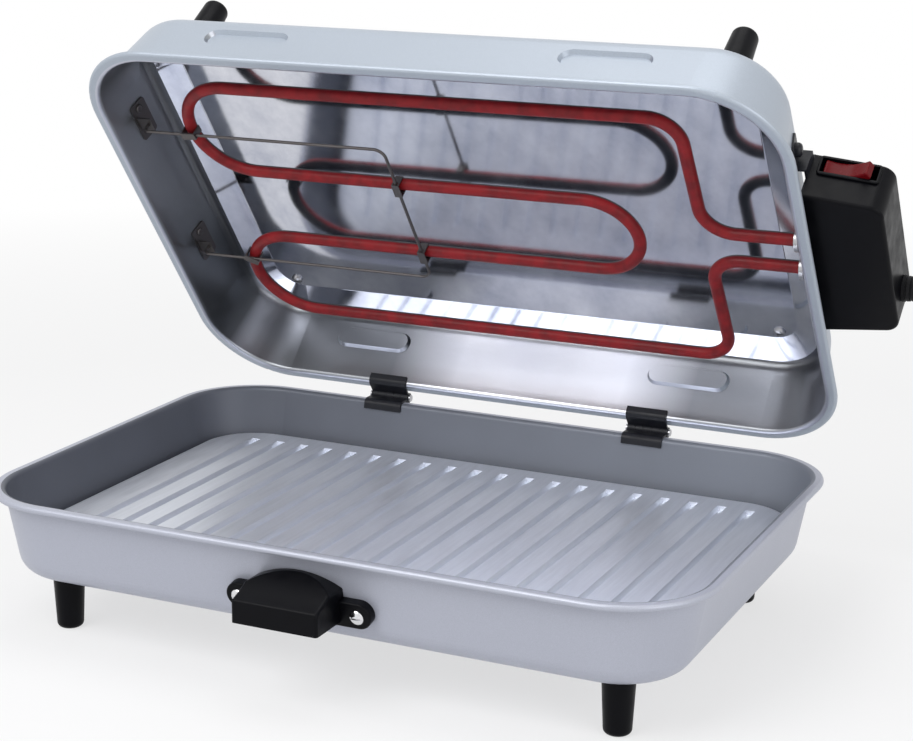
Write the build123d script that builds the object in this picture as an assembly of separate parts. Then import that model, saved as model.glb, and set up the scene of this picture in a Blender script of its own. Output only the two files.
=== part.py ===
from build123d import *
import os
from math import atan2, cos, degrees, hypot, radians, sin, tan

os.makedirs("parts", exist_ok=True)

# Smokeless electric grill: a pressed pan with a ribbed grill plate, and a hinged lid that
# carries the heating element, its reflector and the control box.
# Origin: on the table, under the middle of the pan. +X right, +Y to the rear, +Z up.

# Pressings: the pan and the lid share the outline of their rims
length = 460.0
width = 310.0
rim_corner = 57.0
rim_width = 6.5
rim_bead = 4.0
sheet = 1.0
pan_depth = 54.0
lid_depth = 56.0
wall_lean = 10.0
rim_bend = 3.0
floor_bend = 14.0
foot_height = 35.0

# Oblong stamped beads in the long walls of the lid
stamp_length = 58.0
stamp_width = 17.0
stamp_rise = 2.6
stamp_slope = 30.0
stamp_spread = 117.0
stamp_below_bend = 10.0

# Lid hinge
opening = 52.7
hinge_back = 5.3
leaf = 1.2
leaf_play = 0.2
hinge_spread = 95.7
hinge_length = 28.0
knuckles = 5
knuckle_gap = 0.2
barrel_radius = 3.5
pin_radius = 1.5
running_fit = 0.05
leaf_reach = 5.5

# Feet, the same for the pan and the lid
foot_top_radius = 9.75
foot_end_radius = 8.0
foot_edge = 3.2
foot_bore_depth = 21.0
lid_foot_height = 37.0
pan_foot_inset_x = 51.0
pan_foot_inset_y = 42.3
lid_foot_inset_x = 52.0
lid_foot_inset_y = 45.0

# Fasteners
screw_radius = 2.0
screw_clearance = 0.2
foot_screw_radius = 1.75
screw_head_radius = 4.0
screw_head = 2.6
rivet_radius = 1.5
rivet_head_radius = 2.8
rivet_head = 1.1
nut_bore_play = 0.05
pull_nut = 7.0
pull_nut_thick = 3.2
cap_nut_radius = 4.3
cap_nut_height = 4.0
cap_thread = 2.6
thread_past = 5.0
box_screw_length = 10.5

# Hooded pull on the front of the pan
pull_height = 56.0
pull_half = 27.0
pull_reach = 32.5
pull_drop = 6.0
pull_shoulder = 13.0
pull_crown = 20.0
pull_lip = 13.5
pull_wall = 4.5
pull_back = 3.5
pull_dip = 1.3
pull_edge = 1.8
ear_length = 92.0
ear_width = 16.0
ear_thick = 6.0
pull_screw_spread = 37.75

# Grill plate
plate_sheet = 1.2
plate_below_rim = 30.0
plate_gap = 3.0
plate_border = 14.0
groove_pitch = 19.0
groove_width = 6.4
groove_depth = 3.0
plate_bend = 4.0
plate_seat = 0.3

# Heating element, bent from one tube; heights in the lid are above its rim face
tube_radius = 4.0
element_height = 20.0
element_shift = -6.5
outer_run = 104.3
inner_run = 31.0
terminal_run = 12.0
left_inset = 53.0
right_inset = 115.0
drop_inset = 72.0
corner_bend = 20.0
tube_past = 10.0
pin_length = 12.0
terminal_pin_radius = 1.5
bush_radius = 4.8
bush_collar = 7.4
bush_nut = 12.0

# Wire that carries the left end of the element
wire_radius = 1.0
wire_gap = 0.3
wire_front = -72.0
wire_rear = 45.0
wire_cross = -38.0
wire_hook_inset = 8.0
wire_corner = 7.0
hook_length = 9.0
bracket_height = 26.0
clip_sheet = 0.8
clip_width = 5.0
clip_rise = 1.5
bracket_length = 28.0
bracket_width = 14.0
bracket_sheet = 1.0
bracket_shelf = 10.0
rivet_spread = 9.0

# Reflector
reflector_sheet = 0.6
reflector_gap = 0.3
reflector_inset = 22.0
reflector_border = 16.0
reflector_drop = 7.0
reflector_bend = 3.0

# Control box on the right wall of the lid
box_low = 11.5
box_thick = 34.5
box_middle = -6.5
box_length = 117.0
box_deep = 45.8
box_standoff = 7.0
box_draft = 8.0
box_wall = 2.2
box_round = 9.0
box_edge = 2.0
plate_ear = 15.0
ear_gap = 6.0
ear_height = 34.0
ear_width_up = 16.0
backplate = 1.2

# Rocker switch in the upper end of the control box
rocker_setback = 21.5
rocker_height = 37.0
bezel_length = 36.0
bezel_width = 14.6
bezel_thick = 1.6
rocker_length = 32.5
rocker_width = 10.5
rocker_play = 0.25
switch_wall = 0.7
rocker_tilt = 12.0
rocker_rise = 3.6
rocker_valley = 3.2
rocker_chamfer = 2.0
rocker_pivot_depth = 5.0
rocker_pivot_radius = 1.2
switch_depth = 20.0

# Cord inlet gland and the terminal block inside the box
gland_y = 27.0
gland_height = 30.0
gland_radius = 8.0
gland_reach = 11.0
gland_bore = 3.6
gland_rib = 1.1
block_depth = 12.0
block_length = 50.0
block_height = 14.0

# Places worked out from the sizes above
half_x = length / 2
half_y = width / 2
corner_x = half_x - rim_corner
corner_y = half_y - rim_corner
rim_height = foot_height + pan_depth
rim_gap = 2 * leaf + leaf_play
stamp_height = lid_depth - floor_bend - stamp_below_bend
lid_base = rim_height + rim_gap
hinge_y = half_y + hinge_back
hinge_z = rim_height + rim_gap / 2
hinge_axis = Axis((0, hinge_y, hinge_z), (1, 0, 0))
pan_foot_x = half_x - pan_foot_inset_x
pan_foot_y = half_y - pan_foot_inset_y
lid_foot_x = half_x - lid_foot_inset_x
lid_foot_y = half_y - lid_foot_inset_y
left_bend = left_inset - half_x
right_bend = half_x - right_inset
drop_bend = half_x - drop_inset
box_back = half_x - rim_width - wall_lean * ear_height / lid_depth + box_standoff
box_low_x = box_back + backplate
box_face = box_low_x + box_deep
tube_end = box_back + tube_past
pin_end = tube_end + pin_length


def lean_angle(depth):
    """Angle of a pressed wall from the vertical, in degrees."""
    return degrees(atan2(wall_lean, depth))


def wall_outside(depth, below):
    """Distance of the wall's outer face from the corner's axis, at a height below the rim face."""
    return rim_corner - rim_width - wall_lean * below / depth


def wall_inside(depth, below):
    """The same for the wall's inner face."""
    return wall_outside(depth, below) - sheet / cos(radians(lean_angle(depth)))


def strip(path, radii, other, other_radii):
    """Flat face between two rounded paths that run side by side."""
    first = FilletPolyline(*path, radius=radii)
    second = FilletPolyline(*other, radius=other_radii)
    start = Line(first @ 0, second @ 0)
    end = Line(first @ 1, second @ 1)
    return make_face(first.edges() + second.edges() + start.edges() + end.edges())


def carried_round(profile, middle_x, middle_y):
    """Carry a profile, drawn as (distance from a corner's axis, height), round the four sides."""
    upright = Plane.XZ * profile
    quarter = revolve(upright, Axis.Z, 90)
    side = extrude(upright, amount=2 * middle_y, dir=(0, 1, 0))
    end = extrude(Rot(0, 0, 90) * upright, amount=2 * middle_x, dir=(1, 0, 0))
    pieces = [
        Pos(middle_x, -middle_y, 0) * side,
        Rot(0, 0, 180) * (Pos(middle_x, -middle_y, 0) * side),
        Pos(-middle_x, middle_y, 0) * end,
        Rot(0, 0, 180) * (Pos(-middle_x, middle_y, 0) * end),
    ]
    for turn, sign_x, sign_y in ((0, 1, 1), (90, -1, 1), (180, -1, -1), (270, 1, -1)):
        pieces.append(Pos(sign_x * middle_x, sign_y * middle_y, 0) * (Rot(0, 0, turn) * quarter))
    return pieces


def rounded_plate(reach, thick):
    """Plate whose corners share the axes of the rim's corners, from z = 0 upwards."""
    outline = RectangleRounded(2 * (corner_x + reach), 2 * (corner_y + reach), reach)
    return extrude(outline, amount=thick)


def pressed_shell(depth):
    """Pressed tray with its rim face at z = 0 and its floor below; the rim ends in a rolled bead."""
    under = wall_outside(depth, sheet)
    bottom = wall_outside(depth, depth)
    floor_edge = bottom - floor_bend * tan(radians(90 - lean_angle(depth)) / 2) - sheet
    bead_middle = rim_corner - rim_bead / 2
    outer = [(bead_middle, -sheet), (under, -sheet), (bottom, -depth), (floor_edge, -depth)]
    inner = [
        (bead_middle, 0),
        (wall_inside(depth, 0), 0),
        (wall_inside(depth, depth - sheet), sheet - depth),
        (floor_edge, sheet - depth),
    ]
    profile = strip(outer, [rim_bend - sheet, floor_bend], inner, [rim_bend, floor_bend - sheet])
    profile += Pos(bead_middle, -rim_bead / 2) * Circle(rim_bead / 2)
    tray = Pos(0, 0, -depth) * rounded_plate(floor_edge + sheet / 2, sheet)
    return tray.fuse(*carried_round(profile, corner_x, corner_y)).clean()


def screw(shank_length, head_radius=screw_head_radius, head=screw_head, shank=screw_radius):
    """Round-headed slotted screw: the head stands on z = 0 and the shank points down."""
    crown = head_radius * 0.55
    outline = Polyline((0, -shank_length), (shank, -shank_length), (shank, 0), (head_radius, 0), (head_radius, head * 0.35))
    dome = ThreePointArc((head_radius, head * 0.35), (crown, head * 0.88), (0, head))
    axis = Line((0, head), (0, -shank_length))
    body = revolve(Plane.XZ * make_face(outline.edges() + dome.edges() + axis.edges()), Axis.Z, 360)
    slot = Pos(0, 0, head) * Box(2 * head_radius, head_radius * 0.26, head * 0.9)
    return body - slot


def rivet(grip):
    """Rivet through a grip: a domed head on z = 0 and a flat upset head under the grip."""
    head = Pos(0, 0, rivet_head / 2) * Cylinder(rivet_head_radius, rivet_head)
    head = fillet(head.faces().sort_by(Axis.Z)[-1].edges(), rivet_head * 0.7)
    shank = Pos(0, 0, -grip / 2) * Cylinder(rivet_radius, grip)
    upset = Pos(0, 0, -grip - rivet_head * 0.35) * Cylinder(rivet_head_radius * 0.85, rivet_head * 0.7)
    return head + shank + upset


def hex_nut(across, thick, bore):
    """Hexagon nut standing on z = 0."""
    outline = RegularPolygon(across / 2, 6, major_radius=False) - Circle(bore)
    return extrude(outline, amount=thick)


def wall_frame(depth, side, along, below, inside=False):
    """Plane on a front (-1) or rear (+1) wall of a tray in its own position, z out of the metal."""
    lean = radians(lean_angle(depth))
    reach = wall_inside(depth, below) if inside else wall_outside(depth, below)
    out = -1 if inside else 1
    normal = (0, side * out * cos(lean), -out * sin(lean))
    return Plane(origin=(along, side * (corner_y + reach), -below), x_dir=(1, 0, 0), z_dir=normal)


def end_frame(depth, side, along, below, inside=False):
    """The same on a left (-1) or right (+1) wall, with x along the wall."""
    lean = radians(lean_angle(depth))
    reach = wall_inside(depth, below) if inside else wall_outside(depth, below)
    out = -1 if inside else 1
    normal = (side * out * cos(lean), 0, -out * sin(lean))
    return Plane(origin=(side * (corner_x + reach), along, -below), x_dir=(0, 1, 0), z_dir=normal)


def hole(frame, radius, reach=6.0):
    """Drill that passes a wall on both sides of a frame."""
    return frame * Cylinder(radius, 2 * reach)


def in_lid(shape):
    """Turn a piece drawn like a tray over, into the closed lid's place."""
    return Pos(0, 0, lid_base) * (Rot(180, 0, 0) * shape)


def opened(shape):
    """Swing a piece of the closed lid to its place on the open lid."""
    return shape.rotate(hinge_axis, -opening)


def foot(tall):
    """Moulded foot, drawn hanging from z = 0, with a bore for its screw."""
    outline = Polyline((0, 0), (foot_top_radius, 0), (foot_end_radius, -tall), (0, -tall), close=True)
    body = revolve(Plane.XZ * make_face(outline.edges()), Axis.Z, 360)
    body = fillet(body.faces().sort_by(Axis.Z)[0].edges(), foot_edge)
    bore = Pos(0, 0, -foot_bore_depth / 2) * Cylinder(foot_screw_radius + screw_clearance, foot_bore_depth)
    return body - bore


def foot_places(spread_x, spread_y):
    return [(name, x * spread_x, y * spread_y) for name, x, y in (
        ("front_left", -1, -1), ("front_right", 1, -1), ("rear_left", -1, 1), ("rear_right", 1, 1))]


def leaf_places():
    return (("left", -hinge_spread), ("right", hinge_spread))


def hinge_leaf(depth, along, outer_knuckles):
    """Leaf welded on the rim face, with a lip down the inner face of the rear wall, in tray position."""
    play = 0.12
    slope = wall_lean / depth
    top_in = wall_inside(depth, 0) - play
    low_in = top_in - slope * leaf_reach
    across = leaf / cos(radians(lean_angle(depth)))
    edge = half_y + hinge_back - barrel_radius * 0.7 - corner_y
    below = [(edge, 0), (top_in, 0), (low_in, -leaf_reach)]
    above = [(edge, leaf), (top_in + slope * leaf - across, leaf), (low_in - across, -leaf_reach)]
    profile = strip(below, [rim_bend], above, [rim_bend + leaf])
    plate = extrude(Plane.YZ * profile, amount=hinge_length / 2, both=True)
    plate = Pos(along, corner_y, 0) * plate
    pivot_z = rim_gap / 2
    knuckle = (hinge_length - (knuckles - 1) * knuckle_gap) / knuckles
    for i in range(knuckles):
        spot = Pos(along + (i - (knuckles - 1) / 2) * (knuckle + knuckle_gap), hinge_y, pivot_z)
        mine = (i % 2 == 0) == outer_knuckles
        if mine:
            plate += spot * (Rot(0, 90, 0) * Cylinder(barrel_radius, knuckle))
        else:
            plate -= spot * (Rot(0, 90, 0) * Cylinder(barrel_radius + 0.4, knuckle + 2 * knuckle_gap))
    plate -= Pos(along, hinge_y, pivot_z) * (
        Rot(0, 90, 0) * Cylinder(pin_radius + running_fit, 2 * hinge_length))
    return plate


def hinge_pin(along):
    """Bright steel pin with an upset head at each end of the barrel."""
    pin = Rot(0, 90, 0) * Cylinder(pin_radius, hinge_length + 0.4)
    for side in (-1, 1):
        head = Rot(0, 90, 0) * Cylinder(pin_radius + 0.9, 1.2)
        pin += Pos(side * (hinge_length / 2 + 0.2 + 0.6), 0, 0) * head
    return Pos(along, hinge_y, hinge_z) * pin


def pull_frame(inside=False):
    frame = wall_frame(pan_depth, -1, 0, rim_height - pull_height)
    origin = frame.origin + Vector(0, 0, rim_height)
    if inside:
        return Plane(origin - frame.z_dir * sheet, frame.x_dir, frame.z_dir * -1)
    return Plane(origin, frame.x_dir, frame.z_dir)


def base_pan():
    """Lower tray, drilled for its feet, the pull and the hinge leaves."""
    pan = pressed_shell(pan_depth)
    for _, x, y in foot_places(pan_foot_x, pan_foot_y):
        pan -= Pos(x, y, -pan_depth) * Cylinder(foot_screw_radius + screw_clearance, 4 * sheet)
    for side in (-1, 1):
        frame = wall_frame(pan_depth, -1, side * pull_screw_spread, rim_height - pull_height)
        pan -= hole(frame, screw_radius + screw_clearance)
    return Pos(0, 0, rim_height) * pan


def front_pull():
    """Moulded hooded pull: two screwed ears and a hood that fingers reach into from below."""
    frame = pull_frame()
    ears = frame * extrude(SlotOverall(ear_length, ear_width), amount=ear_thick)
    ears = fillet(ears.faces().sort_by(Axis.Y)[0].edges(), 1.2)
    back = frame.origin.Y + 12
    front = frame.origin.Y - pull_reach
    low = pull_height - pull_drop
    crown = ThreePointArc(
        (-pull_half, pull_height + pull_shoulder), (0, pull_height + pull_crown),
        (pull_half, pull_height + pull_shoulder))
    sides = Polyline(
        (-pull_half, pull_height + pull_shoulder), (-pull_half, low), (pull_half, low),
        (pull_half, pull_height + pull_shoulder))
    face = make_face(crown.edges() + sides.edges())
    hood = Pos(0, back, 0) * extrude(Plane.XZ * face, amount=back - front)
    ridge = (frame.origin.Y - 5, pull_height + pull_crown + 1)
    tip = (front, low + pull_lip)
    dip = ((ridge[0] + tip[0]) / 2, (ridge[1] + tip[1]) / 2 - pull_dip)
    slope = ThreePointArc(ridge, dip, tip)
    rest = Polyline(tip, (front, low), (back, low), (back, ridge[1] + 1), ridge)
    hood &= extrude(Plane.YZ * make_face(slope.edges() + rest.edges()), amount=2 * pull_half, both=True)
    top_edges = hood.edges().filter_by(lambda e: e.center().Y < back - 1 and e.center().Z > low + 1)
    hood = fillet(top_edges, pull_edge)
    inner_x = 2 * (pull_half - pull_wall)
    rear = frame.origin.Y - pull_back
    depth = rear - (front + pull_wall)
    cavity = Polyline(
        (rear, low - 1), (rear, pull_height + pull_crown - 2 * pull_wall - 2), (front + pull_wall, low + pull_lip - pull_wall),
        (front + pull_wall, low - 1), close=True)
    scoop = extrude(Plane.YZ * make_face(cavity.edges()), amount=inner_x / 2, both=True)
    scoop = fillet(scoop.edges().filter_by(lambda e: e.center().Z > low and abs(e.center().X) > 1), min(3.0, depth / 6))
    outside = frame * (Pos(0, 0, ear_length) * Box(3 * ear_length, 3 * ear_length, 2 * ear_length))
    pull = ((ears + hood) & outside) - scoop
    for side in (-1, 1):
        spot = frame * Pos(side * pull_screw_spread, 0, 0)
        pull -= spot * Cylinder(screw_radius + screw_clearance, 4 * ear_thick)
    return pull


def pull_screws():
    frame = pull_frame()
    reach = ear_thick + sheet + thread_past
    screws = [frame * Pos(s * pull_screw_spread, 0, ear_thick) * screw(reach, screw_head_radius + 0.3) for s in (-1, 1)]
    return Compound(children=screws)


def pull_nuts():
    frame = pull_frame(inside=True)
    nuts = [frame * Pos(s * pull_screw_spread, 0, 0) * hex_nut(pull_nut, pull_nut_thick, screw_radius + nut_bore_play) for s in (-1, 1)]
    return Compound(children=nuts)


def grill_plate():
    """Corrugated plate on a skirt that stands on the pan's floor, just clear of the pan's walls."""
    reach = wall_inside(pan_depth, plate_below_rim) - plate_gap
    drop = pan_depth - sheet - plate_below_rim - plate_seat
    foot_in = wall_outside(pan_depth, pan_depth) - floor_bend * tan(radians(90 - lean_angle(pan_depth)) / 2)
    inner_edge = reach - plate_border
    outer = [(inner_edge, 0), (reach, 0), (foot_in, -drop)]
    slope = atan2(reach - foot_in, drop)
    across = plate_sheet / cos(slope)
    inner = [(inner_edge, -plate_sheet), (reach - across, -plate_sheet), (foot_in - across, -drop)]
    profile = strip(outer, [plate_bend], inner, [plate_bend - plate_sheet])
    field_x = corner_x + inner_edge
    field_y = corner_y + inner_edge
    count = int(2 * (field_x - groove_width) / groove_pitch)
    border = Pos(0, 0, -plate_sheet) * rounded_plate(inner_edge + plate_sheet / 2, plate_sheet)
    plate = border.fuse(*carried_round(profile, corner_x, corner_y)).clean()
    half = groove_width / 2
    tread = half * 0.55
    cut = make_face(Polyline((-half, 0.5), (-half, 0), (-tread, -groove_depth), (tread, -groove_depth), (half, 0), (half, 0.5), close=True).edges())
    rib = make_face(Polyline(
        (-half - plate_sheet, -plate_sheet / 2), (-tread - plate_sheet, -groove_depth - plate_sheet),
        (tread + plate_sheet, -groove_depth - plate_sheet), (half + plate_sheet, -plate_sheet / 2), close=True).edges())
    for i in range(count):
        x = (i - (count - 1) / 2) * groove_pitch
        inset = max(0.0, abs(x) - corner_x)
        bow = rounded_half(inner_edge, inset)
        run = 2 * (corner_y + bow) - 2 * groove_width
        plate += Pos(x, 0, 0) * extrude(Plane.XZ * rib, amount=run / 2 + plate_sheet, both=True)
        plate -= Pos(x, 0, 0) * extrude(Plane.XZ * cut, amount=run / 2, both=True)
    return Pos(0, 0, rim_height - plate_below_rim) * plate


def rounded_half(radius, inset):
    """Height of a rounded corner at an inset from its axis."""
    return (max(radius * radius - inset * inset, 0.0)) ** 0.5


def lid_shell():
    """Upper tray with stamped oblong beads, drilled for feet, terminals, brackets and hinges."""
    lid = pressed_shell(lid_depth)
    for side in (-1, 1):
        for along in (-stamp_spread, stamp_spread):
            frame = wall_frame(lid_depth, side, along, stamp_height)
            pad = extrude(SlotOverall(stamp_length, stamp_width), amount=-(stamp_rise + sheet), taper=stamp_slope)
            dent = extrude(
                SlotOverall(stamp_length - sheet, stamp_width - sheet), amount=-stamp_rise, taper=stamp_slope)
            lid = lid + frame * pad - frame * dent
    for _, x, y in foot_places(lid_foot_x, lid_foot_y):
        lid -= Pos(x, y, -lid_depth) * Cylinder(foot_screw_radius + screw_clearance, 4 * sheet)
    for side in (-1, 1):
        y = -(element_shift + side * terminal_run)
        lid -= Pos(half_x - rim_width, y, -element_height) * (Rot(0, 90, 0) * Cylinder(bush_radius + 0.3, 4 * wall_lean))
        y = -(box_middle + side * (box_length / 2 + ear_gap + plate_ear / 2))
        lid -= hole(end_frame(lid_depth, 1, y, ear_height), screw_radius + screw_clearance)
    for y in wire_legs():
        for frame in bracket_rivets_at(y):
            lid -= hole(frame, rivet_radius + 0.1)
    return in_lid(lid)


def wire_legs():
    """Where the two legs of the support wire run, in tray position (front and rear swapped)."""
    return [-wire_front, -wire_rear]


def bracket_rivets_at(y):
    return [end_frame(lid_depth, -1, y + side * rivet_spread, bracket_height, inside=True) for side in (-1, 1)]


def element_path():
    """Middle line of the element in the plane of the lid, front at -Y."""
    s = element_shift
    bend = (outer_run - inner_run) / 2
    left = left_bend + bend
    right = right_bend - inner_run
    start = FilletPolyline(
        (tube_end, s - terminal_run), (drop_bend, s - terminal_run), (drop_bend, s - outer_run),
        (left, s - outer_run), radius=corner_bend)
    first = ThreePointArc((left, s - outer_run), (left_bend, s - outer_run + bend), (left, s - inner_run))
    front_run = Line((left, s - inner_run), (right, s - inner_run))
    middle = ThreePointArc((right, s - inner_run), (right_bend, s), (right, s + inner_run))
    rear_run = Line((right, s + inner_run), (left, s + inner_run))
    second = ThreePointArc((left, s + inner_run), (left_bend, s + inner_run + bend), (left, s + outer_run))
    end = FilletPolyline(
        (left, s + outer_run), (drop_bend, s + outer_run), (drop_bend, s + terminal_run),
        (tube_end, s + terminal_run), radius=corner_bend)
    pieces = [start, first, front_run, middle, rear_run, second, end]
    return Wire([edge for piece in pieces for edge in piece.edges()])


def heating_element():
    """One tube, bent flat: both ends leave through the right wall."""
    start = Plane(origin=(tube_end, element_shift - terminal_run, 0), z_dir=(1, 0, 0))
    tube = sweep(start * Circle(tube_radius), path=element_path())
    return Pos(0, 0, lid_base + element_height) * tube


def along_terminals(shape):
    """Copy a piece drawn along +X to the two terminals of the closed lid."""
    places = [Pos(0, element_shift + side * terminal_run, lid_base + element_height) for side in (-1, 1)]
    return Compound(children=[place * shape for place in places])


def turned(points, bore):
    """Turned piece about X from (x, radius) points, with a bore."""
    outline = [(x, r) for x, r in points] + [(points[-1][0], bore), (points[0][0], bore)]
    return revolve(make_face(Polyline(*outline, close=True).edges()), Axis.X, 360)


def element_bushes():
    """Steel bushes that carry the tube through the lid's wall and the back plate."""
    seat = corner_x + wall_inside(lid_depth, element_height + bush_collar) - 0.2
    points = [(seat - 2.5, bush_collar), (seat, bush_collar), (seat, bush_radius), (box_back + 6.0, bush_radius)]
    return along_terminals(turned(points, tube_radius + running_fit))


def bush_nuts():
    nut = Rot(0, 90, 0) * (Rot(0, 0, 30) * hex_nut(bush_nut, 3.5, bush_radius + running_fit))
    return along_terminals(Pos(box_back + backplate, 0, 0) * nut)


def terminal_beads():
    """Ceramic beads that close the tube's ends round the cold pins."""
    points = [(tube_end, 3.6), (tube_end + 2.2, 3.6), (tube_end + 4.0, 2.8)]
    return along_terminals(turned(points, terminal_pin_radius + running_fit))


def terminal_pins():
    pin = Pos((tube_end + pin_end) / 2, 0, 0) * (Rot(0, 90, 0) * Cylinder(terminal_pin_radius, pin_end - tube_end))
    return along_terminals(pin)


def terminal_block():
    """Ceramic block that joins the cold pins to the leads."""
    x = tube_end + 5.0
    z = lid_base + element_height + 2.0
    block = Pos(x + block_depth / 2, element_shift, z) * Box(block_depth, block_length, block_height)
    block = fillet(block.edges().filter_by(Axis.X), 1.5)
    for side in (-1, 1):
        y = element_shift + side * terminal_run
        block -= Pos(x, y, lid_base + element_height) * (Rot(0, 90, 0) * Cylinder(terminal_pin_radius + 0.15, 2 * block_depth + 2))
        block -= Pos(x + block_depth / 2, element_shift + side * (block_length / 2 - 5), z) * (
            Rot(0, 90, 0) * Cylinder(screw_radius + screw_clearance, 2 * block_depth))
    return block


def block_posts():
    x = tube_end + 5.0 + block_depth
    z = lid_base + element_height + 2.0
    far = box_face - box_wall / 2
    for side in (-1, 1):
        y = element_shift + side * (block_length / 2 - 5)
        yield x, far, y, z


def block_screws():
    screws = []
    for x, _, y, z in block_posts():
        screws.append(Pos(x - block_depth, y, z) * (Rot(0, -90, 0) * screw(block_depth + 8, 3.4, 2.0)))
    return Compound(children=screws)


def reflector():
    """Polished sheet under the top of the lid, with a sloping border all round."""
    top = lid_base + lid_depth - sheet - reflector_gap
    flat = wall_outside(lid_depth, lid_depth) - reflector_inset
    start = flat - 2 * reflector_bend
    end = flat + reflector_border
    outer = [(start, 0), (flat, 0), (end, -reflector_drop)]
    across = reflector_sheet * tan(atan2(reflector_drop, reflector_border) / 2)
    inner = [(start, -reflector_sheet), (flat - across, -reflector_sheet), (end - across, -reflector_drop - reflector_sheet)]
    profile = strip(outer, [reflector_bend], inner, [reflector_bend - reflector_sheet])
    panel = Pos(0, 0, -reflector_sheet) * rounded_plate(start + reflector_sheet, reflector_sheet)
    panel = panel.fuse(*carried_round(profile, corner_x, corner_y)).clean()
    for _, x, y in foot_places(lid_foot_x, lid_foot_y):
        panel -= Pos(x, y, 0) * Cylinder(foot_screw_radius + screw_clearance, 4)
    return Pos(0, 0, top) * panel


def lid_foot_screws():
    """Screws of the lid's feet, which also clamp the reflector."""
    head = lid_base + lid_depth - sheet - reflector_gap - reflector_sheet
    one = Rot(180, 0, 0) * screw(foot_bore_depth - 2, shank=foot_screw_radius)
    screws = [Pos(x, y, head) * one for _, x, y in foot_places(lid_foot_x, lid_foot_y)]
    return Compound(children=screws)


def support_wire():
    """Bent wire under the element: two legs from the left wall, joined across the lid."""
    z = lid_base + element_height - tube_radius - wire_gap - wire_radius
    near = wire_front
    far = wire_rear
    hook_x = wire_hook_inset - corner_x - wall_inside(lid_depth, element_height)
    points = [
        (hook_x, near, z + hook_length), (hook_x, near, z), (wire_cross, near, z),
        (wire_cross, far, z), (hook_x, far, z), (hook_x, far, z + hook_length)]
    path = FilletPolyline(*points, radius=[3.0, wire_corner, wire_corner, 3.0])
    start = Plane(origin=path @ 0, z_dir=path % 0)
    return sweep(start * Circle(wire_radius), path=path.wire())


def wire_brackets():
    """Small angle brackets on the left wall that the wire's hooked ends hang in."""
    brackets = []
    hook_x = wire_hook_inset - corner_x - wall_inside(lid_depth, element_height)
    for y in wire_legs():
        frame = end_frame(lid_depth, -1, y, bracket_height, inside=True)
        pad = frame * extrude(RectangleRounded(bracket_length, bracket_width, 2), amount=bracket_sheet)
        spot_z = -(element_height + 1.0)
        inward = frame * (Pos(0, 0, bracket_length) * Box(3 * bracket_length, 3 * bracket_length, 2 * bracket_length))
        shelf_end = hook_x + wire_radius + 2.2
        shelf_start = hook_x - wire_hook_inset - bracket_width
        shelf = Pos((shelf_start + shelf_end) / 2, y, spot_z) * Box(
            shelf_end - shelf_start, bracket_shelf, bracket_sheet)
        shelf = shelf & inward
        pad = pad.fuse(shelf)
        pad -= Pos(hook_x, y, spot_z) * Cylinder(wire_radius + 0.3, 6)
        for rivet_frame in bracket_rivets_at(y):
            pad -= hole(rivet_frame, rivet_radius + 0.1, 3)
        brackets.append(in_lid(pad))
    return Compound(children=brackets)


def bracket_rivets():
    rivets = []
    for y in wire_legs():
        for frame in bracket_rivets_at(y):
            rivets.append(in_lid(frame * (Pos(0, 0, bracket_sheet) * rivet(bracket_sheet + sheet))))
    return Compound(children=rivets)


def clip_places():
    """Where the element crosses its wire: x, y, direction of the tube and of the wire there."""
    bend = (outer_run - inner_run) / 2
    places = []
    for y in (element_shift - inner_run, element_shift + inner_run):
        places.append((wire_cross, y, 0.0, 90.0))
    for y, middle in ((wire_front, element_shift - inner_run - bend), (wire_rear, element_shift + inner_run + bend)):
        turn = degrees(atan2(y - middle, (bend * bend - (y - middle) ** 2) ** 0.5))
        x = left_bend + bend - bend * cos(radians(turn))
        places.append((x, y, 90.0 - turn, 0.0))
    return places


def wire_clips():
    """Sheet clips that tie the element to its wire, open at the top."""
    clips = []
    wrap = tube_radius + 0.3
    low = -(tube_radius + wire_gap + 2 * wire_radius + 0.3)
    tall = clip_rise - low
    outer = Pos(0, clip_rise - (tall + clip_sheet) / 2) * Rectangle(2 * (wrap + clip_sheet), tall + clip_sheet)
    inner = Pos(0, low + tall) * Rectangle(2 * wrap, 2 * tall)
    band = extrude(Plane.YZ * (outer - inner), amount=clip_width / 2, both=True)
    passage = 2 * wire_radius + 0.6
    pass_through = Pos(0, 0, low + passage / 2) * Box(6 * wrap, passage, passage)
    for x, y, tube_turn, wire_turn in clip_places():
        clip = (Rot(0, 0, tube_turn) * band) - (Rot(0, 0, wire_turn) * pass_through)
        clips.append(Pos(x, y, lid_base + element_height) * clip)
    return Compound(children=clips)


def box_block(start, end, shrink):
    """Block between two distances from the lid, with the drafted ends of the control box."""
    lean = tan(radians(box_draft))
    half = box_length / 2 - shrink / cos(radians(box_draft))
    near = half - (start - box_low_x) * lean
    far = half - (end - box_low_x) * lean
    outline = Polyline((start, -near), (end, -far), (end, far), (start, near), close=True)
    block = extrude(make_face(outline.edges()), amount=box_thick - 2 * shrink)
    return Pos(0, box_middle, lid_base + box_low + shrink) * block


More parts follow.
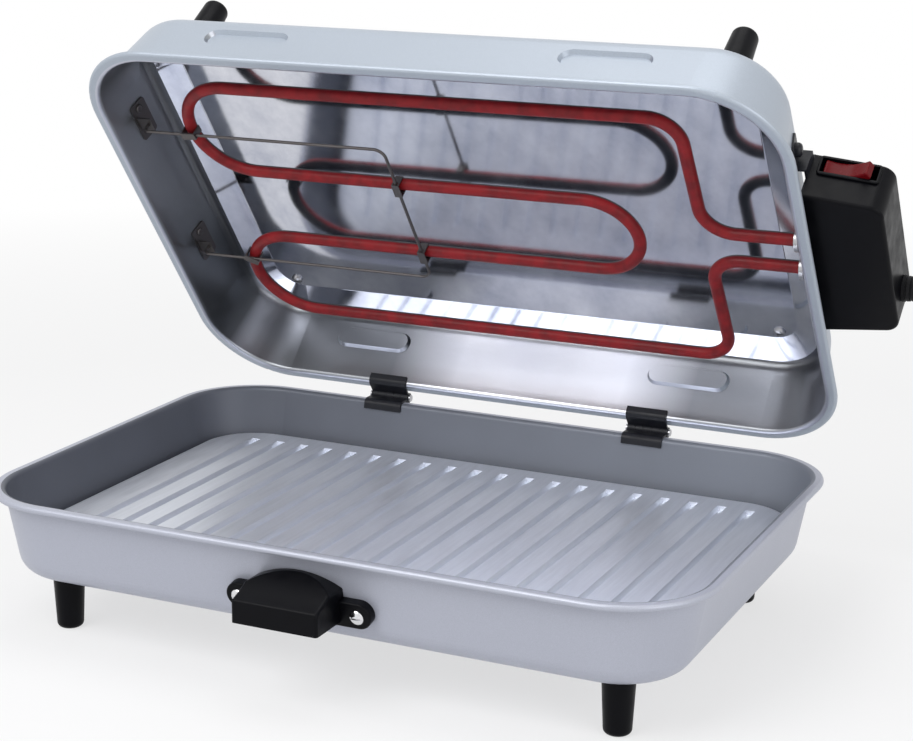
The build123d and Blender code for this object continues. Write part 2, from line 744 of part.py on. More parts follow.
def control_box():
    """Moulded cover of the control box, open towards the lid, with posts inside."""
    body = box_block(box_low_x, box_face, 0.0)
    outer_z = body.edges().filter_by(Axis.Z).sort_by(Axis.X)[-2:]
    body = fillet(outer_z, box_round)
    rim = body.faces().filter_by(Axis.Z).edges().filter_by(lambda e: e.center().X > box_low_x + 0.1)
    body = fillet(rim, box_edge)
    core = box_block(box_low_x - 1, box_face - box_wall, box_wall)
    core = fillet(core.edges().filter_by(Axis.Z).sort_by(Axis.X)[-2:], box_round - box_wall)
    body -= core
    for x, far, y, z in block_posts():
        post = Pos((x + far) / 2, y, z) * (Rot(0, 90, 0) * Cylinder(3.6, far - x))
        body += post
        body -= Pos(x + 5, y, z) * (Rot(0, 90, 0) * Cylinder(screw_radius + screw_clearance, 12))
    for y in box_screw_rows():
        length_x = box_screw_length + 3.5
        post = Pos(box_low_x + length_x / 2, y, box_screw_height()) * (Rot(0, 90, 0) * Cylinder(3.4, length_x))
        body += post
        body -= Pos(box_low_x, y, box_screw_height()) * (
            Rot(0, 90, 0) * Cylinder(screw_radius + screw_clearance, 2 * box_screw_length))
    slot_x, slot_z = switch_case(0.2)
    body -= rocker_place(Box(slot_x, slot_z, 3 * box_wall))
    body -= Pos(box_face, gland_y, lid_base + gland_height) * (Rot(0, 90, 0) * Cylinder(gland_radius - 1.2, 3 * box_wall))
    return body


def box_screw_rows():
    return [box_middle - 27.5, box_middle + box_length / 2 - 9.0]


def box_screw_height():
    return lid_base + box_low + box_thick - box_wall - 2.6


def box_back_plate():
    """Steel plate that closes the box and stands it off the lid's leaning wall on bent ears."""
    z_low = lid_base + box_low
    body = Pos(box_back + backplate / 2, box_middle, z_low + box_thick / 2) * Box(backplate, box_length - 1, box_thick - 1)
    for side in (-1, 1):
        y = element_shift + side * terminal_run
        body -= Pos(box_back, y, lid_base + element_height) * (Rot(0, 90, 0) * Cylinder(bush_radius + 0.2, 6))
    for y in box_screw_rows():
        body -= Pos(box_back, y, box_screw_height()) * (Rot(0, 90, 0) * Cylinder(screw_radius + screw_clearance, 6))
    for side in (-1, 1):
        end = box_middle + side * (box_length / 2 - 0.5)
        middle = box_middle + side * (box_length / 2 + ear_gap + plate_ear / 2)
        near = box_middle + side * (box_length / 2 + ear_gap)
        frame = end_frame(lid_depth, 1, -middle, ear_height)
        ear = in_lid(frame * extrude(RectangleRounded(plate_ear, ear_width_up, 3), amount=backplate))
        outside = in_lid(frame * (Pos(0, 0, box_length) * Box(4 * box_length, 4 * box_length, 2 * box_length)))
        web = Pos(box_low_x - box_standoff, near - side * backplate / 2, lid_base + ear_height) * Box(
            2 * box_standoff, backplate, ear_width_up)
        link = Pos(box_back + backplate / 2, (end + near) / 2, lid_base + ear_height) * Box(
            backplate, abs(near - end) + 0.02, ear_width_up)
        body = body + ((web + link) & outside) + ear
        body -= in_lid(hole(frame, screw_radius + screw_clearance))
    return body


def ear_frames():
    for side in (-1, 1):
        middle = box_middle + side * (box_length / 2 + ear_gap + plate_ear / 2)
        yield end_frame(lid_depth, 1, -middle, ear_height)


def ear_bolts():
    """Bolts from inside the lid through the ears of the back plate."""
    bolts = []
    for frame in ear_frames():
        bolts.append(in_lid(frame * (Pos(0, 0, -sheet) * (Rot(180, 0, 0) * screw(sheet + backplate + cap_thread)))))
    return Compound(children=bolts)


def cap_nuts():
    """Black domed nuts on the ears."""
    nuts = []
    nut = Pos(0, 0, cap_nut_height / 2) * Cylinder(cap_nut_radius, cap_nut_height)
    nut = fillet(nut.faces().sort_by(Axis.Z)[-1].edges(), cap_nut_radius * 0.6)
    bore = cap_thread + 0.2
    nut -= Pos(0, 0, bore / 2) * Cylinder(screw_radius + nut_bore_play, bore)
    for frame in ear_frames():
        nuts.append(in_lid(frame * (Pos(0, 0, backplate) * nut)))
    return Compound(children=nuts)


def box_screws():
    screws = []
    for y in box_screw_rows():
        screws.append(Pos(box_back, y, box_screw_height()) * (Rot(0, -90, 0) * screw(box_screw_length, 3.6, 2.0)))
    return Compound(children=screws)


def rocker_place(shape):
    """Put a piece drawn with x along the rocker and z out of the box's drafted end into place."""
    draft = radians(box_draft)
    x = box_low_x + rocker_setback
    y = box_middle - box_length / 2 + rocker_setback * tan(draft)
    turn = Plane(
        origin=(x, y, lid_base + rocker_height), x_dir=(cos(draft), sin(draft), 0),
        z_dir=(sin(draft), -cos(draft), 0))
    return turn * shape


def switch_case(grow=0.0):
    """Length and width of the switch's case behind its bezel."""
    return (
        rocker_length + 2 * (rocker_play + switch_wall + grow),
        rocker_width + 2 * (rocker_play + switch_wall + grow))


def switch_body():
    """Switch with its bezel on the face, its case inside the box and two blades behind."""
    bezel = extrude(RectangleRounded(bezel_length, bezel_width, 2.0), amount=bezel_thick)
    bezel = fillet(bezel.faces().sort_by(Axis.Z)[-1].edges(), 0.8)
    case_x, case_y = switch_case()
    case = Pos(0, 0, -switch_depth / 2) * Box(case_x, case_y, switch_depth)
    well_deep = 11.0
    well = Pos(0, 0, bezel_thick - well_deep / 2 + 1) * Box(
        rocker_length + 2 * rocker_play, rocker_width + 2 * rocker_play, well_deep + 2)
    body = bezel + case - well
    blade = Pos(0, 0, -switch_depth - 3.5) * Box(0.8, 6.0, 7.0)
    for x in (-7.0, 7.0):
        body += Pos(x, 0, 0) * blade
    pivot = Pos(0, 0, -rocker_pivot_depth) * (Rot(90, 0, 0) * Cylinder(rocker_pivot_radius + running_fit, case_y))
    return rocker_place(body - pivot)


def rocker():
    """Rocker with a shallow valley along its top, tipped so its outer end is up."""
    half = rocker_length / 2 - (rocker_pivot_depth + rocker_rise) * sin(radians(rocker_tilt))
    top = half - rocker_chamfer
    low = -rocker_pivot_depth - 2.4
    valley = ThreePointArc((-top, rocker_rise), (0, rocker_rise - rocker_valley), (top, rocker_rise))
    sides = Polyline(
        (top, rocker_rise), (half, 0), (half * 0.9, -1.5), (4.5, low), (-4.5, low), (-half * 0.9, -1.5),
        (-half, 0), (-top, rocker_rise))
    body = extrude(Plane.XZ * make_face(valley.edges() + sides.edges()), amount=rocker_width / 2, both=True)
    body = fillet(body.edges().filter_by(lambda e: e.center().Z > 0.2), 0.9)
    body += Pos(0, 0, -rocker_pivot_depth) * (Rot(90, 0, 0) * Cylinder(rocker_pivot_radius, switch_case()[1] - 0.2))
    tipped = body.rotate(Axis((0, 0, -rocker_pivot_depth), (0, 1, 0)), -rocker_tilt)
    return rocker_place(tipped)


def cord_gland():
    """Ribbed rubber gland of the cord inlet, with its bore open."""
    start = box_face - box_wall - 1.6
    points = [
        (start, gland_radius), (box_face - box_wall - 0.2, gland_radius), (box_face - box_wall - 0.2, gland_radius - 1.4),
        (box_face + 0.2, gland_radius - 1.4), (box_face + 0.2, gland_radius), (box_face + 2.0, gland_radius)]
    rings = 3
    pitch = (gland_reach - 2.0) / rings
    for i in range(rings):
        x = box_face + 2.0 + i * pitch
        r = gland_radius - 0.35 * i
        points += [(x, r - gland_rib), (x + pitch * 0.4, r - gland_rib), (x + pitch * 0.4, r - 0.3), (x + pitch, r - 0.5)]
    gland = turned(points, gland_bore)
    return Pos(0, gland_y, lid_base + gland_height) * gland


def lid_mirror(shape):
    """Mirror a piece of the pan's rear wall about the plane between the closed rims."""
    return Pos(0, 0, lid_base) * shape.mirror(Plane.XY)


def pan_foot_screws():
    floor = foot_height + sheet
    one = screw(foot_bore_depth - 2, shank=foot_screw_radius)
    screws = [Pos(x, y, floor) * one for _, x, y in foot_places(pan_foot_x, pan_foot_y)]
    return Compound(children=screws)


parts = {
    "base_pan": base_pan(),
    "grill_plate": grill_plate(),
    "front_pull": front_pull(),
    "pull_screws": pull_screws(),
    "pull_nuts": pull_nuts(),
    "pan_foot_screws": pan_foot_screws(),
}
for name, x, y in foot_places(pan_foot_x, pan_foot_y):
    parts[f"pan_foot_{name}"] = Pos(x, y, foot_height) * foot(foot_height)
for name, along in leaf_places():
    parts[f"hinge_leaf_base_{name}"] = Pos(0, 0, rim_height) * hinge_leaf(pan_depth, along, True)
    parts[f"hinge_pin_{name}"] = hinge_pin(along)

lid_parts = {
    "lid_shell": lid_shell(),
    "reflector": reflector(),
    "heating_element": heating_element(),
    "element_bushes": element_bushes(),
    "bush_nuts": bush_nuts(),
    "terminal_beads": terminal_beads(),
    "terminal_pins": terminal_pins(),
    "terminal_block": terminal_block(),
    "block_screws": block_screws(),
    "support_wire": support_wire(),
    "wire_brackets": wire_brackets(),
    "bracket_rivets": bracket_rivets(),
    "wire_clips": wire_clips(),
    "control_box": control_box(),
    "box_back_plate": box_back_plate(),
    "ear_bolts": ear_bolts(),
    "cap_nuts": cap_nuts(),
    "box_screws": box_screws(),
    "switch_body": switch_body(),
    "rocker": rocker(),
    "cord_gland": cord_gland(),
    "lid_foot_screws": lid_foot_screws(),
}
for name, x, y in foot_places(lid_foot_x, lid_foot_y):
    lid_parts[f"lid_foot_{name}"] = Pos(x, y, lid_base + lid_depth) * (Rot(180, 0, 0) * foot(lid_foot_height))
for name, along in leaf_places():
    lid_parts[f"hinge_leaf_lid_{name}"] = lid_mirror(hinge_leaf(lid_depth, along, False))

for name, piece in lid_parts.items():
    parts[name] = opened(piece)

for name, piece in parts.items():
    export_step(piece, f"parts/{name}.step")
print(len(parts), "nodes")
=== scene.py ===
# %% [markdown]
# # An electric indoor grill, dressed for the camera
# The object is a shallow pressed pan with a ribbed plate in it, and a lid of the same pressing
# that carries a bent heating tube, a bright reflector and a black control box.
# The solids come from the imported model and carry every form. This script gives them their
# finishes, and sets up the floor, the light and the camera.

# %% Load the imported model
import bpy
import numpy as np
from math import radians
from mathutils import Matrix, Vector

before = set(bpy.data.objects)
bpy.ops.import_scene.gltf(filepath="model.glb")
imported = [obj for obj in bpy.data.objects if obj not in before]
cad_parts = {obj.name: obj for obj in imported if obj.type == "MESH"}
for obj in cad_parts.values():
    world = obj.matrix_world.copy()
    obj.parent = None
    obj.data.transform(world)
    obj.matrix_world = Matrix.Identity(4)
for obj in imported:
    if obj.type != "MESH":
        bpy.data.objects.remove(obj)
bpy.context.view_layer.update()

# %% [markdown]
# ## Where things are
# The lid is drawn open. Its own directions are worked out once from the opening angle, so that
# a piece can be given in the lid's own terms: across, from the hinge to the free edge, and away
# from the rim face into the lid.

# %% Directions of the open lid
opening = radians(52.7)
hinge_line = Vector((0.0, 0.1603, 0.0903))
pan_mouth_height = 0.089
lid_mouth_height = 0.0916
free_edge = -0.155
across = Vector((1.0, 0.0, 0.0))
lid_up = Vector((0.0, np.sin(opening), np.cos(opening)))
lid_back = Vector((0.0, np.cos(opening), -np.sin(opening)))


def in_lid(x, y, z):
    """Point of the closed lid, in metres, swung about the hinge line to where the lid stands open."""
    back = (y - hinge_line.y) * lid_back
    away = (z - hinge_line.z) * lid_up
    return Vector((x, hinge_line.y, hinge_line.z)) + back + away


print("free edge of the lid", [round(v, 3) for v in in_lid(0, free_edge, lid_mouth_height)])

# %% [markdown]
# ## Building a finish
# Every finish is a small graph of shader nodes. A few helpers keep the graphs short: one makes
# the shader, one adds a noise at a real scale, and the others turn a grey value into a colour,
# a roughness or a relief. Object coordinates are in metres, so a scale of 1000 is a grain of a
# millimetre.

# %% Helpers for finishes


def new_finish(name, color, roughness, metallic=0.0, specular=0.5):
    """Empty material with one Principled shader; returns the material, its tree and the shader."""
    finish = bpy.data.materials.new(name)
    finish.use_nodes = True
    tree = finish.node_tree
    shader = tree.nodes["Principled BSDF"]
    shader.inputs["Base Color"].default_value = (*color, 1.0)
    shader.inputs["Roughness"].default_value = roughness
    shader.inputs["Metallic"].default_value = metallic
    shader.inputs["Specular IOR Level"].default_value = specular
    return finish, tree, shader


def stretched_place(tree, stretch=(1, 1, 1), turn=(0, 0, 0)):
    """Object coordinates, scaled and turned, as the place to read a pattern at."""
    place = tree.nodes.new("ShaderNodeTexCoord")
    mapping = tree.nodes.new("ShaderNodeMapping")
    mapping.inputs["Scale"].default_value = stretch
    mapping.inputs["Rotation"].default_value = turn
    tree.links.new(place.outputs["Object"], mapping.inputs["Vector"])
    return mapping.outputs["Vector"]


def noise(tree, place, scale, detail=3.0, roughness=0.5):
    """Noise of a scale per metre, from 0 to 1."""
    node = tree.nodes.new("ShaderNodeTexNoise")
    node.inputs["Scale"].default_value = scale
    node.inputs["Detail"].default_value = detail
    node.inputs["Roughness"].default_value = roughness
    tree.links.new(place, node.inputs["Vector"])
    return node.outputs["Fac"]


def spread(tree, value, low, high, new_low, new_high):
    """Move a value from one range to another, held inside the new range."""
    node = tree.nodes.new("ShaderNodeMapRange")
    node.inputs["From Min"].default_value = low
    node.inputs["From Max"].default_value = high
    node.inputs["To Min"].default_value = new_low
    node.inputs["To Max"].default_value = new_high
    tree.links.new(value, node.inputs["Value"])
    return node.outputs["Result"]


def between(tree, value, first, second):
    """Colour between two colours, by a value from 0 to 1."""
    node = tree.nodes.new("ShaderNodeMix")
    node.data_type = "RGBA"
    node.inputs["A"].default_value = (*first, 1.0)
    node.inputs["B"].default_value = (*second, 1.0)
    tree.links.new(value, node.inputs["Factor"])
    return node.outputs["Result"]


def mixed(tree, value, first, second):
    """The same between two colours that are already worked out."""
    node = tree.nodes.new("ShaderNodeMix")
    node.data_type = "RGBA"
    tree.links.new(first, node.inputs["A"])
    tree.links.new(second, node.inputs["B"])
    tree.links.new(value, node.inputs["Factor"])
    return node.outputs["Result"]


def flat(tree, color):
    """One colour, as a worked-out colour."""
    node = tree.nodes.new("ShaderNodeRGB")
    node.outputs["Color"].default_value = (*color, 1.0)
    return node.outputs["Color"]


def shade(color, level):
    """The same colour, darker by a level."""
    return tuple(part * level for part in color)


def bump(tree, shader, height, depth, strength):
    """Raise the surface by a height value, with a depth in metres."""
    node = tree.nodes.new("ShaderNodeBump")
    node.inputs["Distance"].default_value = depth
    node.inputs["Strength"].default_value = strength
    tree.links.new(height, node.inputs["Height"])
    tree.links.new(node.outputs["Normal"], shader.inputs["Normal"])


def finish_nodes(finish, *names):
    """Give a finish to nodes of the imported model."""
    for name in names:
        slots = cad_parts[name].data.materials
        slots.clear()
        slots.append(finish)


# %% [markdown]
# ## Which side of a pressing a point is on
# A pressing is one sheet with an outside and an inside, and the two sides are finished
# differently. The side can be told from the surface alone: on the outside of a tray the normal
# points away from the middle of its mouth, and on the inside it points towards it. So the
# product of the normal and the way from the mouth's middle is positive outside, negative inside
# and about zero on the flange, which counts as outside.

# %% Telling inside from outside


def dot_product(tree, value):
    """A new product node with a value in its first place; the second place is left to the caller."""
    dot = tree.nodes.new("ShaderNodeVectorMath")
    dot.operation = "DOT_PRODUCT"
    tree.links.new(value, dot.inputs[0])
    return dot


def surface_dot(tree, direction):
    """Product of the surface's normal and a fixed direction."""
    place = tree.nodes.new("ShaderNodeTexCoord")
    dot = dot_product(tree, place.outputs["Normal"])
    dot.inputs[1].default_value = tuple(direction)
    return dot.outputs["Value"]


def way_from(tree, start):
    """The way from a start to the point on the surface."""
    place = tree.nodes.new("ShaderNodeTexCoord")
    way = tree.nodes.new("ShaderNodeVectorMath")
    way.operation = "SUBTRACT"
    way.inputs[1].default_value = tuple(start)
    tree.links.new(place.outputs["Object"], way.inputs[0])
    return way.outputs["Vector"]


def along(tree, start, direction):
    """How far a point lies from a start, measured along a direction."""
    dot = dot_product(tree, way_from(tree, start))
    dot.inputs[1].default_value = tuple(direction)
    return dot.outputs["Value"]


def inside_of(tree, mouth, outer=-0.008, inner=-0.018):
    """1 on the inside of a tray whose mouth has its middle at a point, and 0 on its outside."""
    place = tree.nodes.new("ShaderNodeTexCoord")
    dot = dot_product(tree, way_from(tree, mouth))
    tree.links.new(place.outputs["Normal"], dot.inputs[1])
    return spread(tree, dot.outputs["Value"], outer, inner, 0.0, 1.0)


# %% [markdown]
# ## Silver enamel of the pressings
# Both pressings are sprayed outside with a silver-grey enamel that holds fine metal flake. It
# is neither bare metal nor plain paint, so the shader is a third metallic, with a fine flake in
# the colour and the faint waviness that orange peel and pressing leave. The pan's inside has the
# same enamel in a darker coat with painted shade, darkest at the left end. The lid's inside is bare
# aluminised steel, which mottles, with a painted dark reflection on its left wall and a painted
# highlight in the middle of the wall by the hinge, which is darker towards its ends.

# %% Silver enamel
flake_scale = 2600.0
cloud_scale = 14.0
peel_scale = 420.0
peel_depth = 0.00006
dark_share = 0.86
enamel_metal = 0.3


def silver_enamel(name, outside, inside, mouth, gloss, inside_gloss, inside_metal):
    """Enamel with flake and orange peel outside, and another tone, gloss and metal inside."""
    finish, tree, shader = new_finish(name, outside, gloss, enamel_metal, 0.4)
    place = stretched_place(tree)
    flake = spread(tree, noise(tree, place, flake_scale, 2.0), 0.3, 0.7, 0.0, 1.0)
    cloud = spread(tree, noise(tree, place, cloud_scale, 2.0), 0.25, 0.75, 0.0, 1.0)
    inner = inside_of(tree, mouth)
    out_tone = between(tree, flake, shade(outside, dark_share), outside)
    in_tone = mixed(tree, cloud, inside(tree, dark_share), inside(tree, 1.0))
    tree.links.new(mixed(tree, inner, out_tone, in_tone), shader.inputs["Base Color"])
    out_rough = spread(tree, cloud, 0.0, 1.0, gloss - 0.04, gloss + 0.05)
    in_rough = spread(tree, cloud, 0.0, 1.0, inside_gloss - 0.03, inside_gloss + 0.05)
    rough = tree.nodes.new("ShaderNodeMix")
    tree.links.new(inner, rough.inputs["Factor"])
    tree.links.new(out_rough, rough.inputs["A"])
    tree.links.new(in_rough, rough.inputs["B"])
    tree.links.new(rough.outputs["Result"], shader.inputs["Roughness"])
    metal = spread(tree, inner, 0.0, 1.0, enamel_metal, inside_metal)
    tree.links.new(metal, shader.inputs["Metallic"])
    bump(tree, shader, noise(tree, place, peel_scale, 2.0), peel_depth, 0.5)
    return finish


def pan_coat_and_painted_shade(tree, level):
    """Tone of the pan's inside: a darker grey coat with painted shade, darkest at the left end."""
    painted_shade_left_grey = shade((0.120, 0.130, 0.158), level)
    right_grey = shade((0.235, 0.255, 0.300), level)
    # Painted shade: the pan's inside grows darker towards the left end.
    right = spread(tree, along(tree, (0, 0, 0), across), -0.2, 0.2, 0.0, 1.0)
    return between(tree, right, painted_shade_left_grey, right_grey)


def bare_steel_with_painted_light(tree, level, highlight_middle=(0.014, 0, 0), highlight_half=0.06, highlight_end=0.11):
    """Tone of the lid's inside: bare steel with a painted dark reflection on the left wall, darkest by
    the hinge, and a painted highlight in the middle of the hinge's wall, darker towards its ends.
    """
    plain = flat(tree, shade((0.55, 0.57, 0.65), level))
    # Tones of the hinge's wall: a painted highlight in its middle, darker at its ends.
    painted_highlight_tone = shade((0.84, 0.85, 0.90), level)
    darker_hinge_ends = shade((0.25, 0.26, 0.28), level)
    # Painted dark reflection on the left inner wall, darkest by the hinge.
    left_shade_near_hinge = shade((0.085, 0.090, 0.100), level)
    left_shade_far_from_hinge = shade((0.34, 0.36, 0.385), level)
    left_wall = spread(tree, surface_dot(tree, across), 0.55, 0.85, 0.0, 1.0)
    hinge_wall = spread(tree, surface_dot(tree, -lid_back), 0.45, 0.85, 0.0, 1.0)
    to_right = spread(tree, along(tree, highlight_middle, across), highlight_half, highlight_end, 0.0, 1.0)
    to_left = spread(tree, along(tree, highlight_middle, -across), highlight_half, highlight_end, 0.0, 1.0)
    from_hinge = spread(tree, along(tree, hinge_line, -lid_back), 0.04, 0.27, 0.0, 1.0)
    hinge_tone = mixed(tree, to_right, between(tree, to_left, painted_highlight_tone, darker_hinge_ends), flat(tree, darker_hinge_ends))
    bright = mixed(tree, hinge_wall, plain, hinge_tone)
    dull = between(tree, from_hinge, left_shade_near_hinge, left_shade_far_from_hinge)
    return mixed(tree, left_wall, bright, dull)


pan_mouth = Vector((0.0, 0.0, pan_mouth_height))
lid_mouth = in_lid(0.0, 0.0, lid_mouth_height)
# The pan's inside is a darker coat with painted shade towards the left end.
pan_enamel = silver_enamel("pan_enamel", (0.47, 0.49, 0.57), pan_coat_and_painted_shade, pan_mouth, 0.40, 0.45, 0.2)
# The lid's inside is bare steel with a painted dark reflection on its left wall and a painted
# highlight on the hinge's wall.
lid_enamel = silver_enamel("lid_enamel", (0.43, 0.48, 0.55), bare_steel_with_painted_light, lid_mouth, 0.38, 0.30, 0.9)
finish_nodes(pan_enamel, "base_pan")
finish_nodes(lid_enamel, "lid_shell")
print("enamel on both pressings, mouths at", tuple(pan_mouth), tuple(round(v, 3) for v in lid_mouth))

# %% [markdown]
# ## Bright sheet and small metal
# The grill plate is satin aluminium, the reflector a brighter rolled sheet whose streaks run
# from the hinge to the free edge. Long thin noise gives the streaks, because rolling stretches
# every scratch the same way. Screws, nuts and pins are zinc plated, and the wire that carries
# the tube, with its brackets and clips, is darkened by heat.

# %% Sheet metal
streak_scale = 60.0
plating_scale = 700.0


def rolled_sheet(name, light, dark, roughness, stretch, metallic, turn, streak, depth):
    """Metal whose noise is drawn out along one direction."""
    finish, tree, shader = new_finish(name, light, roughness, metallic)
    place = stretched_place(tree, stretch, turn)
    lines = noise(tree, place, streak_scale, 5.0, 0.65)
    tone = between(tree, spread(tree, lines, 0.3, 0.7, 0.0, 1.0), dark, light)
    rough = spread(tree, lines, 0.3, 0.7, roughness - streak / 2, roughness + streak / 2)
    tree.links.new(tone, shader.inputs["Base Color"])
    tree.links.new(rough, shader.inputs["Roughness"])
    bump(tree, shader, lines, depth, 0.4)
    return finish


def small_metal(name, light, roughness):
    """Plated small parts: a soft cloud in tone and roughness."""
    finish, tree, shader = new_finish(name, light, roughness, 1.0)
    place = stretched_place(tree)
    cloud = noise(tree, place, plating_scale, 3.0)
    rough = spread(tree, cloud, 0.3, 0.7, roughness - 0.05, roughness + 0.08)
    tree.links.new(between(tree, cloud, shade(light, 0.8), light), shader.inputs["Base Color"])
    tree.links.new(rough, shader.inputs["Roughness"])
    return finish


plate_sheet = rolled_sheet(
    "plate_sheet", (0.80, 0.83, 0.90), (0.70, 0.73, 0.80), roughness=0.36, stretch=(6.0, 0.4, 6.0),
    metallic=0.7, turn=(0, 0, 0), streak=0.12, depth=0.00004)
bright_liner = rolled_sheet(
    "bright_liner", (0.76, 0.77, 0.82), (0.46, 0.48, 0.56), roughness=0.09, stretch=(0.35, 0.02, 0.35),
    metallic=1.0, turn=(opening, 0, 0), streak=0.05, depth=0.000003)
zinc = small_metal("zinc", (0.50, 0.50, 0.52), 0.30)
bright_chrome = small_metal("bright_chrome", (0.80, 0.80, 0.82), 0.12)
dark_wire = small_metal("dark_wire", (0.14, 0.13, 0.13), 0.45)
finish_nodes(plate_sheet, "grill_plate")
finish_nodes(bright_liner, "reflector")
finish_nodes(
    zinc, "element_bushes", "bush_nuts", "terminal_pins", "block_screws", "ear_bolts", "box_screws",
    "lid_foot_screws", "pan_foot_screws", "pull_nuts", "hinge_pin_left", "hinge_pin_right")
finish_nodes(bright_chrome, "pull_screws")
finish_nodes(dark_wire, "support_wire", "wire_brackets", "bracket_rivets", "wire_clips")
print("metals done")

# %% [markdown]
# ## Heating tube
# The side of the tube that faces the food carries a painted red glow of the hot tube, and the side
# that faces the reflector keeps the tube's own dark grey, so the mirror shows a dark tube. The side
# is told by the surface's own normal, so the line between the two colours follows every bend.

# %% Heating tube


def tube_finish():
    """Painted red glow on the side away from the reflector and the tube's own dark grey on the side
    facing it, told by the angle between the normal and the lid's up direction.
    """
    # The reds are a painted glow of the hot tube; the greys are the tube's own colour.
    light_glow_red = (0.28, 0.012, 0.016)
    deep_glow_red = (0.165, 0.008, 0.011)
    light_grey = (0.055, 0.058, 0.064)
    deep_grey = (0.030, 0.032, 0.036)
    finish, tree, shader = new_finish("heating_tube", deep_glow_red, 0.45, 0.0, 0.25)
    place = stretched_place(tree)
    grain = noise(tree, place, 900.0, 3.0)
    patch = noise(tree, place, 90.0, 3.0)
    side = spread(tree, surface_dot(tree, lid_up), 0.05, 0.35, 0.0, 1.0)
    red = between(tree, spread(tree, patch, 0.35, 0.65, 0.0, 1.0), deep_glow_red, light_glow_red)
    dark = between(tree, spread(tree, grain, 0.3, 0.7, 0.0, 1.0), deep_grey, light_grey)
    tree.links.new(mixed(tree, side, red, dark), shader.inputs["Base Color"])
    tree.links.new(spread(tree, patch, 0.3, 0.7, 0.36, 0.5), shader.inputs["Roughness"])
    bump(tree, shader, grain, 0.00005, 0.5)
    return finish


finish_nodes(tube_finish(), "heating_element")
print("tube finished")

# %% [markdown]
# ## Black mouldings, the red rocker and the small insulators
# Phenolic parts come out of a polished mould with a soft sheen and a faint unevenness. The
# rocker is a glossier red plastic. The gland is rubber, dull and a little grainy.

# %% Mouldings
sheen_scale = 120.0
grain_scale = 1500.0


def moulding(name, color, roughness, grain_depth, specular=0.5):
    """Moulded plastic or rubber: one colour, uneven gloss, fine grain."""
    finish, tree, shader = new_finish(name, color, roughness, 0.0, specular)
    place = stretched_place(tree)
    cloud = noise(tree, place, sheen_scale, 3.0)
    grain = noise(tree, place, grain_scale, 2.0)
    rough = spread(tree, cloud, 0.3, 0.7, roughness - 0.06, roughness + 0.08)
    tree.links.new(between(tree, cloud, shade(color, 0.75), color), shader.inputs["Base Color"])
    tree.links.new(rough, shader.inputs["Roughness"])
    bump(tree, shader, grain, grain_depth, 0.6)
    return finish


black_phenolic = moulding("black_phenolic", (0.0022, 0.0023, 0.0038), 0.38, 0.00002, 0.10)
black_steel = moulding("black_steel", (0.012, 0.013, 0.018), 0.42, 0.00003, 0.25)
red_plastic = moulding("red_plastic", (0.14, 0.003, 0.006), 0.25, 0.00001, 0.12)
steatite = moulding("steatite", (0.72, 0.69, 0.62), 0.62, 0.00005)
gland_rubber = moulding("gland_rubber", (0.010, 0.010, 0.012), 0.58, 0.00005, 0.2)
feet = [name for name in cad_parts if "_foot_" in name and not name.endswith("screws")]
finish_nodes(black_phenolic, "front_pull", "control_box", "switch_body", *feet)
finish_nodes(
    black_steel, "box_back_plate", "cap_nuts", "hinge_leaf_base_left", "hinge_leaf_base_right",
    "hinge_leaf_lid_left", "hinge_leaf_lid_right")
finish_nodes(red_plastic, "rocker")
finish_nodes(steatite, "terminal_beads", "terminal_block")
finish_nodes(gland_rubber, "cord_gland")
print("mouldings done", len(feet), "feet")

# %% [markdown]
# ## Floor, light and backdrop
# The object stands on a plain white floor in a white room. The floor keeps the soft shadow, and
# what the camera and the metal see beyond it is white from the world's own colour, never from
# more light on the object.

# %% Floor and world


def seen_directly(tree):
    """1 for what the camera and mirrors see, and 0 for the light that falls on things."""
    path = tree.nodes.new("ShaderNodeLightPath")
    seen = tree.nodes.new("ShaderNodeMath")
    seen.operation = "MAXIMUM"
    tree.links.new(path.outputs["Is Camera Ray"], seen.inputs[0])
    tree.links.new(path.outputs["Is Glossy Ray"], seen.inputs[1])
    return seen.outputs[0]


def floor_sheet(size=6.0, shadow_reach=(0.7, 1.5), white_near=0.65):
    """Flat square at z = 0 that looks white, and keeps part of the shadow near the object."""
    mesh = bpy.data.meshes.new("floor")
    corner = size / 2
    places = [(-corner, -corner, 0), (corner, -corner, 0), (corner, corner, 0), (-corner, corner, 0)]
    mesh.from_pydata(places, [], [(0, 1, 2, 3)])
    floor = bpy.data.objects.new("floor", mesh)
    bpy.context.scene.collection.objects.link(floor)
    finish, tree, shader = new_finish("floor_white", (0.84, 0.84, 0.85), 0.9, 0.0, 0.0)
    place = tree.nodes.new("ShaderNodeTexCoord")
    away = tree.nodes.new("ShaderNodeVectorMath")
    away.operation = "LENGTH"
    tree.links.new(place.outputs["Object"], away.inputs[0])
    white_part = spread(tree, away.outputs["Value"], *shadow_reach, white_near, 1.0)
    share = tree.nodes.new("ShaderNodeMath")
    share.operation = "MULTIPLY"
    tree.links.new(white_part, share.inputs[0])
    tree.links.new(seen_directly(tree), share.inputs[1])
    glow = tree.nodes.new("ShaderNodeEmission")
    blend = tree.nodes.new("ShaderNodeMixShader")
    tree.links.new(share.outputs[0], blend.inputs["Fac"])
    tree.links.new(shader.outputs["BSDF"], blend.inputs[1])
    tree.links.new(glow.outputs["Emission"], blend.inputs[2])
    tree.links.new(blend.outputs["Shader"], tree.nodes["Material Output"].inputs["Surface"])
    mesh.materials.append(finish)
    return floor


def white_room(light_level, seen_level):
    """World whose light on the object and look to the camera are set apart."""
    world = bpy.data.worlds.new("room")
    bpy.context.scene.world = world
    world.use_nodes = True
    tree = world.node_tree
    back = tree.nodes["Background"]
    level = spread(tree, seen_directly(tree), 0.0, 1.0, light_level, seen_level)
    back.inputs["Color"].default_value = (1.0, 1.0, 1.0, 1.0)
    tree.links.new(level, back.inputs["Strength"])


floor_sheet()
white_room(light_level=0.42, seen_level=1.0)
bpy.context.scene.view_settings.view_transform = "Standard"
print("floor and room set")

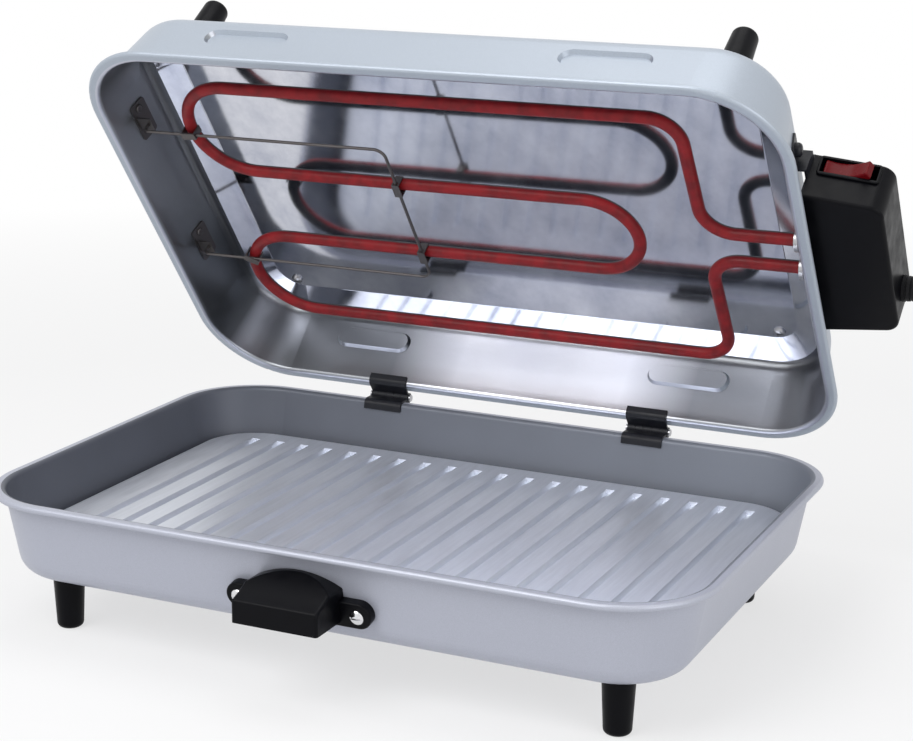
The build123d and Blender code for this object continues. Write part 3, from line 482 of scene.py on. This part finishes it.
# %% [markdown]
# ## Lamps
# Three large square lamps give soft light: the key from the front left, a weaker one from the
# right for the end walls, and one above the lid. Their large size keeps the shadows' edges wide.

# %% Lamps
lamp_size = 1.2


def soft_lamp(name, place, aim, size, power):
    """Square area lamp at a place, turned to a point."""
    data = bpy.data.lights.new(name, "AREA")
    data.shape = "SQUARE"
    data.size = size
    data.energy = power
    lamp = bpy.data.objects.new(name, data)
    lamp.location = place
    lamp.rotation_euler = (Vector(aim) - Vector(place)).to_track_quat("-Z", "Y").to_euler()
    bpy.context.scene.collection.objects.link(lamp)


soft_lamp("key_lamp", (-0.5, -1.3, 1.5), (0, 0, 0.15), lamp_size, 21.0)
soft_lamp("fill_lamp", (1.6, -0.7, 0.8), (0, 0, 0.15), lamp_size, 9.0)
soft_lamp("top_lamp", (0.0, 0.3, 1.9), (0, 0.1, 0.2), lamp_size, 9.0)
print("lamps set")

# %% [markdown]
# ## Camera
# The camera stands where the photograph was taken from: to the right of the object and a little
# above it, with a long lens and a slight roll. Its place was worked out from the rims of both
# pressings, which are the same rounded rectangle seen at two angles.

# %% Camera


def photo_camera(eye, aim, lens, roll_degrees):
    """Camera from an eye point to an aim point, rolled about its own line of sight."""
    data = bpy.data.cameras.new("camera")
    data.sensor_width = 36.0
    data.sensor_fit = "HORIZONTAL"
    data.lens = lens
    data.clip_end = 50.0
    camera = bpy.data.objects.new("camera", data)
    back = (Vector(eye) - Vector(aim)).normalized()
    right = Vector((0, 0, 1)).cross(back).normalized()
    up = back.cross(right)
    turn = radians(roll_degrees)
    rolled_right = right * np.cos(turn) + up * np.sin(turn)
    rolled_up = up * np.cos(turn) - right * np.sin(turn)
    rotation = Matrix((rolled_right, rolled_up, back)).transposed().to_4x4()
    camera.matrix_world = Matrix.Translation(eye) @ rotation
    bpy.context.scene.collection.objects.link(camera)
    bpy.context.scene.camera = camera


photo_camera((0.5362, -1.1028, 0.4742), (0.0286, -0.0007, 0.1604), 82.01, 0.6)
print("camera set")
